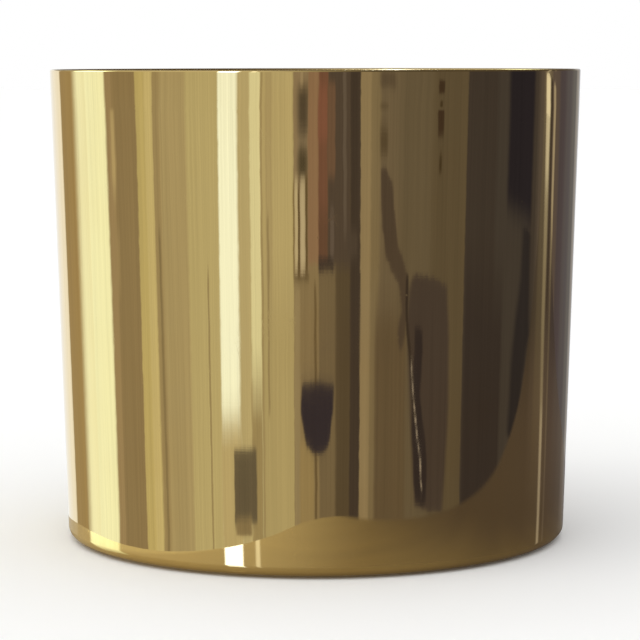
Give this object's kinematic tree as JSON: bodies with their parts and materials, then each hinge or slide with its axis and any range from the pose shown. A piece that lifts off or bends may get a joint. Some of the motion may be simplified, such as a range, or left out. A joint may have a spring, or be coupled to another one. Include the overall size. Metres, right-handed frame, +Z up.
{
  "type": "planter pot",
  "caption": "Round polished brass planter pot, slightly tapered, with a thin plain rim, a rounded heel, felt feet under its base and a dark liner that lifts out.",
  "frame": {"origin": "on the pot's axis, on the surface that its felt feet stand on", "axes": "+Z up along the pot's axis; +X and -X point through the liner's two finger slots; the felt feet are at 45 degrees between X and Y"},
  "size_m": [0.15, 0.15, 0.133],
  "materials": {
    "polished_brass": "mirror polished, lightly used",
    "dark_plastic": "fine moulded grain",
    "brown_felt": "pressed felt",
    "pale_adhesive": "clear adhesive film"
  },
  "bodies": {
    "pot": {"brass_shell": "polished_brass", "felt_foot_1": "brown_felt", "felt_foot_2": "brown_felt", "felt_foot_3": "brown_felt", "felt_foot_4": "brown_felt", "foot_adhesive_1": "pale_adhesive", "foot_adhesive_2": "pale_adhesive", "foot_adhesive_3": "pale_adhesive", "foot_adhesive_4": "pale_adhesive"},
    "liner": {"inner_liner": "dark_plastic"}
  },
  "joints": [
    {"name": "liner_lift", "type": "slide", "parent": "pot", "child": "liner", "axis": [0, 0, 1], "range_m": [0, 0.14]}
  ]
}
